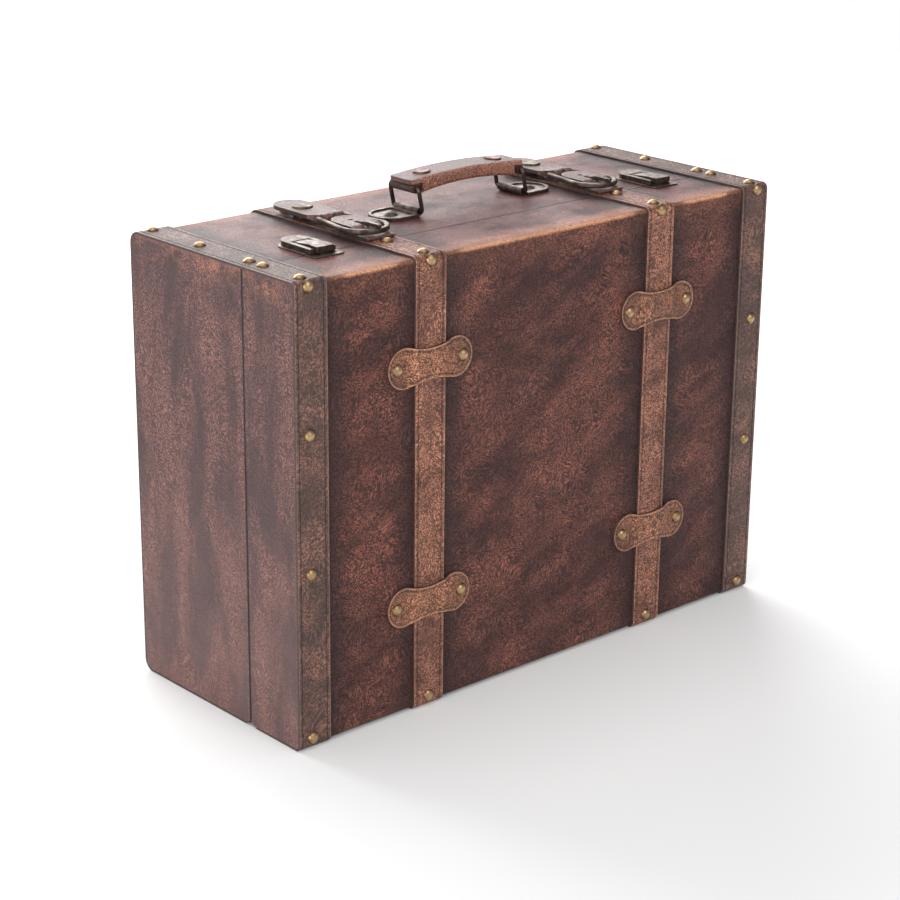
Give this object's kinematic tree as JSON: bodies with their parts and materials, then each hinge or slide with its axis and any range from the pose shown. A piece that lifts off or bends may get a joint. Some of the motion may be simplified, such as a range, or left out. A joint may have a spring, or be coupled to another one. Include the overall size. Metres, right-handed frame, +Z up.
{
  "type": "travel trunk",
  "caption": "Upright wooden travel trunk in distressed leatherette with leather straps, two clasps, two buckle straps and a top handle.",
  "frame": {"origin": "middle of the bottom face that the closed trunk stands on, under the middle of its bounding box in X and Y of the case", "axes": "+Z up; +X along the trunk's length, towards the viewer's right when the lid faces the viewer; +Y from the lid through the seam to the base's back"},
  "size_m": [0.45, 0.1866, 0.3556],
  "materials": {
    "board": "raw poplar or fibreboard, unpainted",
    "cover": "burgundy-brown distressed faux leather with a fine wrinkled grain",
    "lining": "thin plain brown cloth or paper",
    "band": "olive-brown faux leather, satin",
    "strap": "copper-brown grained faux leather with embossed edge lines",
    "nail": "antique brass, satin with darker rims",
    "bronze": "dark antique bronze plating, satin",
    "dark_bronze": "darker antique bronze wire and strap, satin",
    "grip": "copper-brown grained faux leather with dark edges",
    "grip_loop": "dark brown faux leather",
    "grip_rivet": "rose copper, satin"
  },
  "bodies": {
    "base": {"base_back_panel": "board", "base_top_board": "board", "base_bottom_board": "board", "base_left_board": "board", "base_right_board": "board", "base_cover": "cover", "base_lining": "lining", "base_left_band": "band", "base_right_band": "band", "base_left_strap": "strap", "base_right_strap": "strap", "base_nails": "nail", "left_hinge_base_leaf": "dark_bronze", "right_hinge_base_leaf": "dark_bronze", "hinge_pins": "dark_bronze", "left_clasp_body": "bronze", "right_clasp_body": "bronze", "clasp_pins": "bronze", "left_handle_plate": "bronze", "right_handle_plate": "bronze", "handle_plate_rivets": "bronze", "snap_magnets": "nail"},
    "lid": {"lid_front_panel": "board", "lid_top_board": "board", "lid_bottom_board": "board", "lid_left_board": "board", "lid_right_board": "board", "lid_cover": "cover", "lid_lining": "lining", "lid_left_band": "band", "lid_right_band": "band", "lid_left_strap": "strap", "lid_right_strap": "strap", "keeper_upper_left": "strap", "keeper_lower_left": "strap", "keeper_upper_right": "strap", "keeper_lower_right": "strap", "lid_nails": "nail", "left_hinge_lid_leaf": "dark_bronze", "right_hinge_lid_leaf": "dark_bronze", "left_catch_plate": "bronze", "right_catch_plate": "bronze"},
    "left_latch": {"left_latch": "bronze"},
    "right_latch": {"right_latch": "bronze"},
    "left_flap": {"left_buckle_strap": "strap", "left_snap_tab": "strap", "left_buckle": "bronze", "left_prong": "bronze", "left_snap_stud": "nail"},
    "right_flap": {"right_buckle_strap": "strap", "right_snap_tab": "strap", "right_buckle": "bronze", "right_prong": "bronze", "right_snap_stud": "nail"},
    "left_ring": {"left_ring": "dark_bronze"},
    "right_ring": {"right_ring": "dark_bronze"},
    "grip": {"grip": "grip", "grip_loops": "grip_loop", "grip_rivets": "grip_rivet"}
  },
  "joints": [
    {"name": "lid_hinge", "type": "hinge", "parent": "base", "child": "lid", "pos_m": [0, -0.036, 0.0022], "axis": [1, 0, 0], "range_deg": [0, 120]},
    {"name": "left_latch_hinge", "type": "hinge", "parent": "base", "child": "left_latch", "pos_m": [-0.161, -0.017, 0.3287], "axis": [-1, 0, 0], "range_deg": [0, 90]},
    {"name": "right_latch_hinge", "type": "hinge", "parent": "base", "child": "right_latch", "pos_m": [0.161, -0.017, 0.3287], "axis": [-1, 0, 0], "range_deg": [0, 90]},
    {"name": "left_flap_bend", "type": "hinge", "parent": "lid", "child": "left_flap", "pos_m": [-0.11, -0.0386, 0.3287], "axis": [1, 0, 0], "range_deg": [0, 75]},
    {"name": "right_flap_bend", "type": "hinge", "parent": "lid", "child": "right_flap", "pos_m": [0.11, -0.0386, 0.3287], "axis": [1, 0, 0], "range_deg": [0, 75]},
    {"name": "left_ring_swing", "type": "hinge", "parent": "base", "child": "left_ring", "pos_m": [-0.043, 0.011, 0.329], "axis": [0, 1, 0], "range_deg": [-48, 72]},
    {"name": "right_ring_swing", "type": "hinge", "parent": "base", "child": "right_ring", "pos_m": [0.057, 0.011, 0.329], "axis": [0, 1, 0], "range_deg": [-48, 72]},
    {"name": "grip_turn", "type": "hinge", "parent": "left_ring", "child": "grip", "pos_m": [-0.04662, 0.011, 0.34602], "axis": [0, 1, 0], "range_deg": [-72, 48]}
  ],
  "couplings": [
    {"joint": "right_ring_swing", "follows": "left_ring_swing", "ratio": 1},
    {"joint": "grip_turn", "follows": "left_ring_swing", "ratio": -1}
  ]
}
